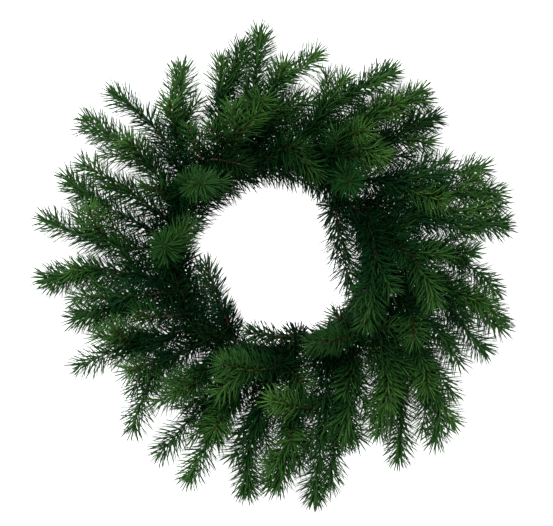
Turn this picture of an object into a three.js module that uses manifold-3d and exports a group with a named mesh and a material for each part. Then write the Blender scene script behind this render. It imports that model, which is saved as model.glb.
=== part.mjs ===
// A fresh evergreen wreath, lying on its back: a painted wire ring with welded clamps, and the cut
// evergreen sprays that the clamps hold. Millimetres, +Z up, the hole's axis vertical.

import * as THREE from 'three';
import { mergeVertices } from 'three/addons/utils/BufferGeometryUtils.js';
import Module from 'manifold-3d';

const wasm = await Module();
wasm.setup();

// The wire ring. Its hoop is round, and each clamp is a square loop of wire welded under the hoop,
// bent up on both sides and crimped over the stems.
const hoopRadius = 88;
const hoopWireRadius = 2;
const hoopSides = 6;
const hoopSteps = 54;
const clampWire = 2.2;
const clampCount = 14;
const clampSearch = THREE.MathUtils.degToRad(6);
const clampSearchSteps = 12;
const weldDepth = 0.5;
const clampMouth = 1.6;
const clampBend = 1.2;
const gap = 0.3;

// The twigs. A stem is a slim tube of three sides, which thins to a pointed bud.
const stemRadius = 1.6;
const stemTipRadius = 1.0;
const sprigRadiusShare = 0.8;
const sprigBend = 0.5;
const stemSides = 3;
const bareStep = 9;
const stationStep = 2;
const rodStep = 3;
const budLength = 5;
const tailReach = 3.8;
const levelPast = 1.2;
const straightest = THREE.MathUtils.degToRad(80);
const slantest = THREE.MathUtils.degToRad(34);

// The needles grow from a narrow band that winds up each twig. Each half of a band's face carries
// one needle, so six needles stand round the twig on each turn. The rear one of each two leans
// across the front one's root, so that a plane through the line between the roots parts them.
const turnPitch = 12.8;
const turnTwist = THREE.MathUtils.degToRad(23);
const bandHeight = 2.0;
const needleLength = 20.5;
const needleLengthSpread = 1.8;
const needleLean = THREE.MathUtils.degToRad(57);
const needleTipLean = THREE.MathUtils.degToRad(25);
const needleLeanSpread = THREE.MathUtils.degToRad(5);
const needleTurnSpread = THREE.MathUtils.degToRad(7);
const needleRootRadius = 1.9;
const needleGap = 0.25;
const tipStretch = 26;
const tipLengthShare = 0.82;
const sprigNeedlesFrom = 7;
const lowestNeedle = 1.5;
const leastLean = THREE.MathUtils.degToRad(14);
const partedBy = 0.8;
const ownTwigReach = 8;
const needleSeed = 1000;
const seedsPerSpray = 10;

// Where a needle would touch something, it is tried again at these changes of lean and turn, in
// degrees, and of length, and is left off if none is clear. A rear needle leans out more by that
// change, and a front one less.
const tries = [
  [0, 0, 1], [7, 9, 1], [7, -9, 1], [9, 14, 1], [9, -14, 1], [0, 0, 0.85], [10, 16, 0.85],
  [10, -16, 0.85], [0, 20, 0.8], [0, -20, 0.8], [14, 0, 0.7], [12, 18, 0.65], [12, -18, 0.65],
];

// Heights that follow from the wires. A stem lies with one of its three faces down, on the flat top
// of the hoop's section.
const clampFoot = hoopWireRadius - weldDepth + clampWire;
const hoopHeight = clampFoot;
const hoopTop = hoopWireRadius * Math.cos(Math.PI / hoopSides);
const stemFace = stemRadius * Math.cos(Math.PI / stemSides);
const seatHeight = hoopHeight + hoopTop + gap + stemFace;
const clampInside = 5.5;
const clampOutside = clampInside + clampWire;
const clampRoof = hoopTop + 2 * gap + stemFace + stemRadius;

// The sprays, clockwise from the top. seat is the angle on the hoop where the stem lies, path holds
// the points of its centre line from there to the tip, and each sprig leaves the stem at a share of
// its length and ends at a tip. Angles in degrees, points in millimetres from the ring's centre.
const sprays = [
  { seat: 111, path: [[-19, 129, 22], [-16, 167, 30], [-14, 186, 30], [-10, 210, 26]],
    sprigs: [[0.3, [-8, 150, 46]]] },
  { seat: 104, path: [[-10, 112, 14], [-4, 143, 20], [10, 171, 30], [27, 179, 36], [44, 193, 36]],
    sprigs: [[0.5, [14, 181, 46]]] },
  { seat: 96, path: [[6, 101, 20], [17, 103, 32], [31, 102, 42]],
    sprigs: [[0.4, [44, 76, 36]]] },
  { seat: 88, path: [[25, 110, 15], [50, 134, 24], [79, 156, 34], [98, 165, 34], [115, 174, 28]],
    sprigs: [[0.2, [70, 171, 38]]] },
  { seat: 79, path: [[52, 104, 15], [88, 127, 24], [107, 139, 28], [126, 148, 28], [143, 156, 22]],
    sprigs: [[0.22, [90, 119, 46]], [0.5, [122, 146, 42]]] },
  { seat: 71, path: [[60, 95, 25], [84, 101, 42], [107, 92, 52]] },
  { seat: 64, path: [[75, 92, 14], [103, 108, 20], [122, 118, 26], [136, 126, 28], [156, 131, 22]],
    sprigs: [[0.42, [150, 107, 36]]] },
  { seat: 57, path: [[62, 80, 24], [69, 76, 48], [74, 66, 72]] },
  { seat: 50, path: [[80, 74, 13], [103, 71, 18], [122, 72, 24], [150, 76, 30], [179, 80, 28],
    [202, 84, 20]],
    sprigs: [[0.28, [164, 49, 46]]] },
  { seat: 44, path: [[61, 40, 20], [68, 9, 30], [71, -18, 38], [76, -33, 42]] },
  { seat: 35, path: [[100, 50, 14], [141, 56, 22], [169, 58, 29], [193, 60, 30], [217, 59, 24]],
    sprigs: [[0.4, [196, 73, 36]]] },
  { seat: 30, path: [[110, 36, 16], [141, 37, 25], [164, 34, 31], [183, 32, 30], [221, 32, 20]],
    sprigs: [[0.42, [203, 47, 36]]] },
  { seat: 24, path: [[93, 27, 22], [97, 8, 34], [96, -13, 44], [94, -39, 52], [87, -66, 57]] },
  { seat: 18, path: [[104, 17, 20], [126, 6, 42], [141, -15, 54], [148, -28, 59], [152, -46, 62]] },
  { seat: 12, path: [[120, 14, 14], [164, 6, 21], [183, -7, 27], [198, -18, 27], [214, -35, 19]],
    sprigs: [[0.55, [193, 6, 38]]] },
  { seat: 5, path: [[120, -8, 15], [164, -32, 24], [180, -39, 30], [198, -44, 32], [218, -63, 25]],
    sprigs: [[0.42, [204, -45, 46]]] },
  { seat: 358, path: [[125, -28, 14], [167, -50, 18], [186, -72, 21], [204, -91, 16]] },
  { seat: 351, path: [[120, -37, 18], [150, -62, 30], [167, -85, 34], [171, -97, 34]],
    sprigs: [[0.3, [134, -80, 50]]] },
  { seat: 344, path: [[112, -52, 14], [134, -80, 21], [145, -113, 28], [153, -132, 30],
    [158, -156, 26], [155, -177, 19]],
    sprigs: [[0.38, [147, -127, 46]], [0.5, [172, -159, 28]]] },
  { seat: 337, path: [[100, -64, 14], [117, -89, 19], [122, -142, 25], [123, -165, 24],
    [120, -194, 18]] },
  { seat: 330, path: [[92, -68, 17], [105, -88, 27], [107, -123, 37], [104, -146, 38], [100, -168, 34]],
    sprigs: [[0.45, [109, -141, 50]]] },
  { seat: 322, path: [[79, -67, 21], [76, -76, 37], [62, -80, 49], [48, -81, 57], [34, -83, 62]],
    sprigs: [[0.24, [58, -54, 42]]] },
  { seat: 316, path: [[74, -84, 17], [79, -108, 27], [76, -132, 32], [71, -156, 32], [69, -178, 26]] },
  { seat: 309, path: [[62, -96, 13], [68, -123, 17], [65, -146, 21], [63, -170, 22], [53, -220, 16]] },
  { seat: 302, path: [[51, -103, 14], [53, -132, 21], [50, -161, 27], [46, -184, 28], [39, -232, 18]],
    sprigs: [[0.34, [-2, -134, 56]]] },
  { seat: 294, path: [[20, -76, 22], [4, -76, 32], [-12, -74, 39], [-24, -71, 45]] },
  { seat: 286, path: [[19, -110, 14], [17, -161, 26], [15, -184, 31], [11, -201, 31], [2, -221, 26]],
    sprigs: [[0.42, [17, -178, 48]], [0.66, [-5, -199, 44]]] },
  { seat: 279, path: [[8, -103, 23], [-12, -108, 42], [-32, -105, 56], [-49, -100, 66]] },
  { seat: 271, path: [[-6, -118, 14], [-9, -144, 20], [-21, -180, 25], [-24, -203, 22],
    [-25, -226, 16]] },
  { seat: 263, path: [[-22, -110, 14], [-35, -132, 21], [-56, -161, 29], [-63, -180, 31],
    [-80, -213, 23]],
    sprigs: [[0.4, [-54, -166, 46]]] },
  { seat: 256, path: [[-39, -112, 13], [-56, -137, 16], [-83, -161, 19], [-108, -190, 15]] },
  { seat: 248, path: [[-42, -63, 20], [-50, -42, 30], [-57, -23, 38], [-63, -6, 44]] },
  { seat: 240, path: [[-55, -98, 20], [-70, -118, 38], [-95, -129, 54]] },
  { seat: 232, path: [[-78, -86, 14], [-104, -101, 21], [-121, -132, 29], [-127, -148, 28],
    [-132, -165, 22]],
    sprigs: [[0.34, [-138, -110, 44]]] },
  { seat: 224, path: [[-88, -73, 15], [-111, -83, 20], [-135, -87, 25], [-154, -92, 26],
    [-185, -105, 19]],
    sprigs: [[0.26, [-166, -74, 40]], [0.4, [-150, -66, 54]]] },
  { seat: 217, path: [[-92, -56, 26], [-112, -58, 40], [-130, -54, 50]] },
  { seat: 211, path: [[-102, -46, 14], [-125, -47, 20], [-154, -51, 25], [-190, -61, 19]] },
  { seat: 204, path: [[-99, -34, 18], [-118, -37, 30], [-144, -39, 39], [-168, -39, 41],
    [-187, -40, 38]] },
  { seat: 197, path: [[-121, -20, 17], [-154, -15, 24], [-182, -17, 26], [-201, -20, 24],
    [-218, -21, 18]],
    sprigs: [[0.52, [-192, -13, 42]]] },
  { seat: 190, path: [[-98, -9, 22], [-100, 2, 48], [-100, 13, 76]],
    sprigs: [[0.45, [-76, 30, 50]]] },
  { seat: 183, path: [[-108, 4, 14], [-130, 8, 20], [-159, 12, 25], [-182, 20, 26], [-218, 36, 18]],
    sprigs: [[0.4, [-173, 46, 46]]] },
  { seat: 175, path: [[-115, 24, 16], [-144, 40, 22], [-178, 58, 23], [-192, 70, 19]] },
  { seat: 167, path: [[-100, 35, 18], [-118, 49, 29], [-140, 63, 38], [-156, 73, 40], [-180, 88, 36]] },
  { seat: 159, path: [[-95, 56, 14], [-111, 80, 20], [-130, 99, 25], [-149, 112, 26], [-177, 131, 20]],
    sprigs: [[0.4, [-139, 111, 46]]] },
  { seat: 151, path: [[-86, 58, 24], [-76, 66, 50], [-61, 68, 76]],
    sprigs: [[0.42, [-46, 70, 40]]] },
  { seat: 144, path: [[-85, 78, 14], [-99, 103, 20], [-113, 124, 25], [-127, 137, 26],
    [-152, 156, 20]] },
  { seat: 137, path: [[-77, 84, 14], [-88, 110, 21], [-90, 134, 27], [-86, 158, 28], [-85, 180, 23]],
    sprigs: [[0.42, [-97, 147, 46]]] },
  { seat: 130, path: [[-66, 90, 22], [-73, 108, 36], [-78, 124, 44]],
    sprigs: [[0.3, [-22, 84, 48]]] },
  { seat: 124, path: [[-52, 98, 14], [-50, 128, 21], [-44, 153, 27], [-35, 177, 27], [-28, 200, 21]],
    sprigs: [[0.36, [-48, 187, 32]]] },
  { seat: 117, path: [[-36, 98, 22], [-34, 118, 38], [-36, 142, 48]] },
];

// A small seeded generator of even draws from 0 to 1, so that every build is the same.
function seededDraws(seed) {
  let state = seed >>> 0;
  return () => {
    state = (state + 0x6d2b79f5) >>> 0;
    let mixed = Math.imul(state ^ (state >>> 15), 1 | state);
    mixed = (mixed + Math.imul(mixed ^ (mixed >>> 7), 61 | mixed)) ^ mixed;
    return ((mixed ^ (mixed >>> 14)) >>> 0) / 4294967296;
  };
}

// Everything that a needle must stay clear of: tapered rods, found by the cells that they touch.
const cellSize = 9;
const cells = new Map();

function cellsOf(rod) {
  const reach = Math.max(rod.startRadius, rod.endRadius) + needleGap;
  const low = rod.start.clone().min(rod.end).subScalar(reach).divideScalar(cellSize).floor();
  const high = rod.start.clone().max(rod.end).addScalar(reach).divideScalar(cellSize).floor();
  const keys = [];
  for (let x = low.x; x <= high.x; x += 1) {
    for (let y = low.y; y <= high.y; y += 1) {
      for (let z = low.z; z <= high.z; z += 1) keys.push(`${x},${y},${z}`);
    }
  }
  return keys;
}

function addRod(rod) {
  for (const key of cellsOf(rod)) {
    if (!cells.has(key)) cells.set(key, []);
    cells.get(key).push(rod);
  }
}

// The free space between two tapered rods, at the closest points of their centre lines.
function clearance(a, b) {
  const alongA = a.end.clone().sub(a.start);
  const alongB = b.end.clone().sub(b.start);
  const between = a.start.clone().sub(b.start);
  const lengthA = alongA.lengthSq();
  const lengthB = alongB.lengthSq();
  const slope = alongA.dot(alongB);
  const startA = alongA.dot(between);
  const startB = alongB.dot(between);
  const spread = lengthA * lengthB - slope * slope;
  let shareA = 0;
  if (spread > 1e-6) shareA = THREE.MathUtils.clamp((slope * startB - startA * lengthB) / spread, 0, 1);
  let shareB = (slope * shareA + startB) / lengthB;
  if (shareB < 0 || shareB > 1) {
    shareB = THREE.MathUtils.clamp(shareB, 0, 1);
    shareA = THREE.MathUtils.clamp((slope * shareB - startA) / lengthA, 0, 1);
  }
  const pointA = a.start.clone().addScaledVector(alongA, shareA);
  const pointB = b.start.clone().addScaledVector(alongB, shareB);
  const radiusA = THREE.MathUtils.lerp(a.startRadius, a.endRadius, shareA);
  const radiusB = THREE.MathUtils.lerp(b.startRadius, b.endRadius, shareB);
  return pointA.distanceTo(pointB) - radiusA - radiusB;
}

// Needles that stand side by side on one twig part as they leave it, so they aren't tested together.
function isClear(rod) {
  for (const key of cellsOf(rod)) {
    for (const other of cells.get(key) ?? []) {
      const apart = Math.abs(other.distance - rod.distance);
      if (other.twig === rod.twig && other.turn === undefined && apart < ownTwigReach) continue;
      if (other.twig === rod.twig && Math.abs(other.turn - rod.turn) < 2) continue;
      if (clearance(rod, other) < needleGap) return false;
    }
  }
  return true;
}

// The centre line of a spray's stem: level and straight from its tail to past the hoop, then through
// its points.
function stemCurve(spray) {
  const angle = THREE.MathUtils.degToRad(spray.seat);
  const outward = new THREE.Vector3(Math.cos(angle), Math.sin(angle), 0);
  const clockwise = new THREE.Vector3(Math.sin(angle), -Math.cos(angle), 0);
  const seat = outward.clone().multiplyScalar(hoopRadius).setZ(seatHeight);
  const points = spray.path.map((point) => new THREE.Vector3(...point));
  const aim = points[0].clone().sub(seat);
  const side = aim.dot(outward) < 0 ? -1 : 1;
  const turn = Math.atan2(Math.abs(aim.dot(outward)), aim.dot(clockwise));
  const slant = THREE.MathUtils.clamp(turn, slantest, straightest);
  const heading = clockwise.clone().multiplyScalar(Math.cos(slant));
  heading.addScaledVector(outward, side * Math.sin(slant));
  const tail = seat.clone().addScaledVector(heading, -tailReach / Math.sin(slant));
  const past = seat.clone().addScaledVector(heading, (hoopWireRadius + levelPast) / Math.sin(slant));
  const exit = seat.clone().addScaledVector(heading, (clampOutside + stemRadius) / Math.sin(slant));
  const lift = seat.clone().addScaledVector(heading, clampInside / Math.sin(slant));
  const curve = new THREE.CatmullRomCurve3([tail, past, lift, ...points], false, 'centripetal');
  return { curve, tail, seat, exit };
}

// The centre line of a side sprig, which leaves along its stem and bends to its own tip.
function sprigCurve(stem, share, tip) {
  const root = stem.getPointAt(share);
  const end = new THREE.Vector3(...tip);
  const bend = root.clone().addScaledVector(stem.getTangentAt(share), sprigBend * root.distanceTo(end));
  return new THREE.QuadraticBezierCurve3(root, bend, end);
}

// A twig knows its centre line, and at any distance along it the point, the direction and the two
// directions across, which turn as little as they can.
function makeTwig(curve, rootRadius, tipRadius, needleStart, name) {
  const length = curve.getLength();
  const steps = Math.ceil(length / stationStep);
  const stations = [];
  let across = null;
  for (let i = 0; i <= steps; i += 1) {
    const along = curve.getTangentAt(i / steps);
    if (!across) {
      across = new THREE.Vector3(0, 0, 1).addScaledVector(along, -along.z);
      if (across.length() < 0.1) across = new THREE.Vector3(1, 0, 0).addScaledVector(along, -along.x);
    }
    across = across.clone().addScaledVector(along, -across.dot(along)).normalize();
    stations.push({ point: curve.getPointAt(i / steps), along, across });
  }
  const at = (distance) => {
    const place = THREE.MathUtils.clamp(distance / length, 0, 1) * steps;
    const index = Math.min(Math.floor(place), steps - 1);
    const share = place - index;
    const point = stations[index].point.clone().lerp(stations[index + 1].point, share);
    const along = stations[index].along.clone().lerp(stations[index + 1].along, share).normalize();
    const first = stations[index].across.clone().lerp(stations[index + 1].across, share);
    first.addScaledVector(along, -first.dot(along)).normalize();
    const second = along.clone().cross(first);
    return { point, along, first, second };
  };
  const radiusAt = (distance) => THREE.MathUtils.lerp(rootRadius, tipRadius, distance / length);
  return { name, length, at, radiusAt, needleStart };
}

function addTwigRods(twig) {
  const steps = Math.ceil(twig.length / rodStep);
  for (let i = 0; i < steps; i += 1) {
    const from = (twig.length * i) / steps;
    const to = (twig.length * (i + 1)) / steps;
    addRod({
      start: twig.at(from).point,
      end: twig.at(to).point,
      startRadius: twig.radiusAt(from),
      endRadius: twig.radiusAt(to),
      twig: twig.name,
      distance: (from + to) / 2,
    });
  }
}

// The apex of the needle that grows from a root in the twig's surface, or null if none is clear.
// parted tells whether an apex keeps the needle on its own side of the one beside it.
function needleApex(twig, distance, root, turnAngle, leanSign, turn, draw, parted) {
  const place = twig.at(distance);
  const fromTip = twig.length - distance;
  const openness = THREE.MathUtils.clamp(fromTip / tipStretch, 0, 1);
  const lean = THREE.MathUtils.lerp(needleTipLean, needleLean, openness)
    + (2 * draw() - 1) * needleLeanSpread;
  const round = turnAngle + (2 * draw() - 1) * needleTurnSpread;
  const length = (needleLength + (2 * draw() - 1) * needleLengthSpread)
    * THREE.MathUtils.lerp(tipLengthShare, 1, openness);
  for (const [moreLean, moreTurn, share] of tries) {
    const tryLean = Math.max(lean + leanSign * THREE.MathUtils.degToRad(moreLean), leastLean);
    const tryTurn = round + THREE.MathUtils.degToRad(moreTurn);
    const away = place.first.clone().multiplyScalar(Math.cos(tryTurn));
    away.addScaledVector(place.second, Math.sin(tryTurn));
    const direction = place.along.clone().multiplyScalar(Math.cos(tryLean));
    direction.addScaledVector(away, Math.sin(tryLean));
    const apex = root.clone().addScaledVector(direction, length * share);
    if (apex.z < lowestNeedle || !parted(apex)) continue;
    const rod = {
      start: root,
      end: apex,
      startRadius: needleRootRadius,
      endRadius: 0,
      twig: twig.name,
      distance,
      turn,
    };
    if (isClear(rod)) {
      addRod(rod);
      return apex;
    }
  }
  return null;
}

// A twig with its needles, as one closed surface. The band's vertices climb the twig in a helix:
// lower[i] and upper[i] are its edges, and lower[i + stemSides] lies one turn further on.
function growTwig(twig, seed) {
  const draw = seededDraws(seed);
  const vertices = [];
  const faces = [];
  const addVertex = (point) => vertices.push(point) - 1;
  const surfacePoint = (distance, angle) => {
    const place = twig.at(distance);
    const radius = twig.radiusAt(distance);
    return place.point.addScaledVector(place.first, radius * Math.cos(angle))
      .addScaledVector(place.second, radius * Math.sin(angle));
  };
  const sideAngle = (2 * Math.PI) / stemSides;

  const rings = [];
  const bareLength = twig.needleStart - bandHeight;
  const bareSteps = Math.max(1, Math.ceil(bareLength / bareStep));
  for (let r = 0; r <= bareSteps; r += 1) {
    const ring = [];
    for (let k = 0; k < stemSides; k += 1) {
      ring.push(addVertex(surfacePoint((bareLength * r) / bareSteps, k * sideAngle)));
    }
    rings.push(ring);
  }
  for (let k = 1; k < stemSides - 1; k += 1) faces.push([rings[0][0], rings[0][k + 1], rings[0][k]]);
  for (let r = 0; r < bareSteps; r += 1) {
    for (let k = 0; k < stemSides; k += 1) {
      const next = (k + 1) % stemSides;
      faces.push([rings[r][k], rings[r][next], rings[r + 1][next]]);
      faces.push([rings[r][k], rings[r + 1][next], rings[r + 1][k]]);
    }
  }

  const needled = twig.length - budLength - bandHeight - twig.needleStart;
  const count = Math.max(stemSides, Math.floor((needled / turnPitch) * stemSides));
  const lower = [];
  const upper = [];
  const distances = [];
  for (let i = 0; i <= count; i += 1) {
    const distance = twig.needleStart + (needled * i) / count;
    const angle = i * (sideAngle + turnTwist / stemSides);
    distances.push(distance);
    lower.push(addVertex(surfacePoint(distance, angle)));
    upper.push(addVertex(surfacePoint(distance + bandHeight, angle)));
  }

  const last = rings[bareSteps];
  for (let k = 0; k < stemSides - 1; k += 1) {
    faces.push([last[k], last[k + 1], lower[k]]);
    faces.push([last[k + 1], lower[k + 1], lower[k]]);
  }
  const corner = stemSides - 1;
  faces.push([last[corner], last[0], lower[corner]]);
  faces.push([last[0], lower[0], lower[corner]]);
  faces.push([lower[0], upper[0], lower[corner]]);
  faces.push([upper[0], lower[stemSides], lower[corner]]);

  for (let i = 0; i + 1 + stemSides <= count; i += 1) {
    faces.push([upper[i], upper[i + 1], lower[i + stemSides]]);
    faces.push([upper[i + 1], lower[i + 1 + stemSides], lower[i + stemSides]]);
  }

  for (let i = 0; i < count; i += 1) {
    const middle = (i + 0.5) * (sideAngle + turnTwist / stemSides);
    const halves = [
      [[lower[i], lower[i + 1], upper[i]], middle + sideAngle / 4, 1],
      [[lower[i + 1], upper[i + 1], upper[i]], middle - sideAngle / 4, -1],
    ];
    let rear = null;
    for (const [root, turnAngle, leanSign] of halves) {
      const centre = new THREE.Vector3();
      for (const index of root) centre.add(vertices[index]);
      centre.divideScalar(3);
      const from = vertices[lower[i + 1]];
      const line = vertices[upper[i]].clone().sub(from);
      const plane = rear ? line.cross(rear.clone().sub(from)).normalize() : null;
      const parted = (apex) => !plane || plane.dot(apex.clone().sub(from)) > partedBy;
      const apex = needleApex(twig, distances[i], centre, turnAngle, leanSign, i, draw, parted);
      rear = apex;
      if (!apex) {
        faces.push(root);
        continue;
      }
      const top = addVertex(apex);
      for (let k = 0; k < 3; k += 1) faces.push([root[k], root[(k + 1) % 3], top]);
    }
  }

  // The tip: a level ring at the height of the band's end, and the pointed bud on it.
  const tip = [upper[count]];
  for (let k = 1; k < stemSides; k += 1) {
    const angle = count * (sideAngle + turnTwist / stemSides) + k * sideAngle;
    tip.push(addVertex(surfacePoint(distances[count] + bandHeight, angle)));
  }
  const bud = addVertex(twig.at(twig.length).point);
  faces.push([upper[count - stemSides], upper[count - stemSides + 1], lower[count]]);
  faces.push([upper[count - stemSides + 1], tip[1], lower[count]]);
  faces.push([lower[count], tip[1], tip[0]]);
  for (let k = 1; k < stemSides; k += 1) {
    const below = count - stemSides + k;
    faces.push([upper[below], upper[below + 1], tip[k]]);
    if (k + 1 < stemSides) faces.push([upper[below + 1], tip[k + 1], tip[k]]);
  }
  for (let k = 0; k < stemSides; k += 1) faces.push([tip[k], tip[(k + 1) % stemSides], bud]);
  return solidOf(vertices, faces);
}

function solidOf(vertices, faces) {
  const vertProperties = new Float32Array(vertices.flatMap((point) => point.toArray()));
  const triVerts = new Uint32Array(faces.flat());
  return new wasm.Manifold(new wasm.Mesh({ numProp: 3, vertProperties, triVerts }));
}

function solidOfGeometry(geometry) {
  const plain = geometry.index ? geometry.toNonIndexed() : geometry;
  plain.deleteAttribute('normal');
  plain.deleteAttribute('uv');
  const merged = mergeVertices(plain, 1e-4);
  const vertProperties = new Float32Array(merged.attributes.position.array);
  const triVerts = new Uint32Array(merged.index.array);
  return new wasm.Manifold(new wasm.Mesh({ numProp: 3, vertProperties, triVerts }));
}

function geometryOf(solid) {
  const mesh = solid.getMesh();
  const geometry = new THREE.BufferGeometry();
  geometry.setAttribute('position', new THREE.Float32BufferAttribute(mesh.vertProperties, 3));
  geometry.setIndex(new THREE.Uint32BufferAttribute(mesh.triVerts, 1));
  geometry.computeVertexNormals();
  return geometry;
}

// One clamp's outline in the plane across the hoop: a square loop, open where its ends meet.
function clampShape() {
  const inside = clampInside;
  const outside = clampOutside;
  const shape = new THREE.Shape();
  shape.moveTo(clampMouth, clampRoof + clampWire);
  shape.lineTo(outside - clampBend, clampRoof + clampWire);
  shape.lineTo(outside, clampRoof + clampWire - clampBend);
  shape.lineTo(outside, -clampFoot + clampBend);
  shape.lineTo(outside - clampBend, -clampFoot);
  shape.lineTo(-outside + clampBend, -clampFoot);
  shape.lineTo(-outside, -clampFoot + clampBend);
  shape.lineTo(-outside, clampRoof + clampWire - clampBend);
  shape.lineTo(-outside + clampBend, clampRoof + clampWire);
  shape.lineTo(-clampMouth, clampRoof + clampWire);
  shape.lineTo(-clampMouth, clampRoof);
  shape.lineTo(-inside, clampRoof);
  shape.lineTo(-inside, -clampFoot + clampWire);
  shape.lineTo(inside, -clampFoot + clampWire);
  shape.lineTo(inside, clampRoof);
  shape.lineTo(clampMouth, clampRoof);
  shape.closePath();
  return shape;
}

// How far a clamp's two upright sides, at an angle on the ring, stay from the stems' centre lines.
function roomForClamp(angle, stems) {
  const middle = clampInside + clampWire / 2;
  let room = Infinity;
  for (const outside of [-middle, middle]) {
    const reach = hoopRadius + outside;
    const side = new THREE.Vector3(reach * Math.cos(angle), reach * Math.sin(angle), seatHeight);
    for (const stem of stems) {
      const line = new THREE.Line3(stem.tail, stem.exit);
      const nearest = line.closestPointToPoint(side, true, new THREE.Vector3());
      room = Math.min(room, side.distanceTo(nearest));
    }
  }
  return room;
}

// The clamps are spread evenly, and each is moved a little to where it has most room.
function clampAngles(stems) {
  const angles = [];
  for (let i = 0; i < clampCount; i += 1) {
    const even = (2 * Math.PI * i) / clampCount;
    let best = even;
    for (let k = -clampSearchSteps; k <= clampSearchSteps; k += 1) {
      const angle = even + (clampSearch * k) / clampSearchSteps;
      if (roomForClamp(angle, stems) > roomForClamp(best, stems)) best = angle;
    }
    angles.push(best);
  }
  return angles;
}

function ringFrame(clamps) {
  const hoop = new THREE.TorusGeometry(hoopRadius, hoopWireRadius, hoopSides, hoopSteps);
  let solid = solidOfGeometry(hoop.translate(0, 0, hoopHeight));
  for (const angle of clamps) {
    const clamp = new THREE.ExtrudeGeometry(clampShape(), { depth: clampWire, bevelEnabled: false });
    clamp.translate(hoopRadius, 0, -clampWire / 2).rotateX(Math.PI / 2);
    clamp.translate(0, 0, hoopHeight).rotateZ(angle);
    solid = solid.add(solidOfGeometry(clamp));
  }
  return geometryOf(solid);
}

function addFrameRods(clamps) {
  for (let i = 0; i < hoopSteps; i += 1) {
    const ends = [i, i + 1].map((step) => {
      const angle = (2 * Math.PI * step) / hoopSteps;
      return new THREE.Vector3(hoopRadius * Math.cos(angle), hoopRadius * Math.sin(angle), hoopHeight);
    });
    addRod({ start: ends[0], end: ends[1], startRadius: hoopWireRadius, endRadius: hoopWireRadius });
  }
  const middle = clampInside + clampWire / 2;
  const radius = clampWire * Math.SQRT1_2;
  for (const angle of clamps) {
    const corner = (outside, height) => new THREE.Vector3(
      (hoopRadius + outside) * Math.cos(angle),
      (hoopRadius + outside) * Math.sin(angle),
      hoopHeight + height,
    );
    const low = -clampFoot + clampWire / 2;
    const high = clampRoof + clampWire / 2;
    const corners = [corner(-middle, high), corner(-middle, low), corner(middle, low),
      corner(middle, high), corner(-middle, high)];
    for (let k = 0; k < corners.length - 1; k += 1) {
      addRod({ start: corners[k], end: corners[k + 1], startRadius: radius, endRadius: radius });
    }
  }
}

const enamel = new THREE.MeshStandardMaterial({ color: 0x1d2a20, roughness: 0.45, metalness: 0.3 });
const evergreen = new THREE.MeshStandardMaterial({ color: 0x2f5a2c, roughness: 0.6, metalness: 0 });

const stems = sprays.map(stemCurve);
const clamps = clampAngles(stems);
addFrameRods(clamps);

const twigsOfSprays = sprays.map((spray, index) => {
  const { curve, tail, seat } = stems[index];
  const stem = makeTwig(curve, stemRadius, stemTipRadius, tail.distanceTo(seat), `${index}`);
  const twigs = [stem];
  for (const [share, tip] of spray.sprigs ?? []) {
    const rootRadius = stem.radiusAt(share * stem.length) * sprigRadiusShare;
    const sprig = sprigCurve(curve, share, tip);
    const name = `${index}/${twigs.length}`;
    twigs.push(makeTwig(sprig, rootRadius, stemTipRadius, sprigNeedlesFrom, name));
  }
  twigs.forEach(addTwigRods);
  return twigs;
});

const wreath = new THREE.Group();

function addPiece(name, geometry, material) {
  const mesh = new THREE.Mesh(geometry, material);
  mesh.name = name;
  wreath.add(mesh);
}

addPiece('ring_frame', ringFrame(clamps), enamel);
twigsOfSprays.forEach((twigs, index) => {
  let solid = null;
  twigs.forEach((twig, order) => {
    const grown = growTwig(twig, needleSeed + seedsPerSpray * index + order);
    solid = solid ? solid.add(grown) : grown;
  });
  addPiece(`spray_${String(index + 1).padStart(2, '0')}`, geometryOf(solid), evergreen);
});

// The wreath's own origin is under the middle of its outline, on the surface that it lies on.
const outline = new THREE.Box3().setFromObject(wreath);
const centre = outline.getCenter(new THREE.Vector3());
wreath.position.set(-centre.x, -centre.y, -outline.min.z);

export default wreath;
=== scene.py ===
import math

import bpy
import numpy as np
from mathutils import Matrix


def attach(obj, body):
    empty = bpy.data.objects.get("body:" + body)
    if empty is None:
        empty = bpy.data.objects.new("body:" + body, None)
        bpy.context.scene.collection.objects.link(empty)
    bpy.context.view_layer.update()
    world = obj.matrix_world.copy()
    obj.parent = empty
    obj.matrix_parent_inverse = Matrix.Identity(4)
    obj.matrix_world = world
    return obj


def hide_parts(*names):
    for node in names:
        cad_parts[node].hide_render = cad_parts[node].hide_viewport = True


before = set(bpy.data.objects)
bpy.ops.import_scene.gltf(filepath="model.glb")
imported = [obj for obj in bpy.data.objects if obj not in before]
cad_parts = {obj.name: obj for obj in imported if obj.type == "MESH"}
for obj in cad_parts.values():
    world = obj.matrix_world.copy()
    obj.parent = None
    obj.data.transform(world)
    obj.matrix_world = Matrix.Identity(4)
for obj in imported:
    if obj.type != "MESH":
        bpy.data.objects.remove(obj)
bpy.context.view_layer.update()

# The looks of a fresh evergreen wreath: its wire ring and its fifty sprays, each on the centre
# line of its CAD node. Lengths are in millimetres until a mesh is made, in metres.

MM = 0.001

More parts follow.
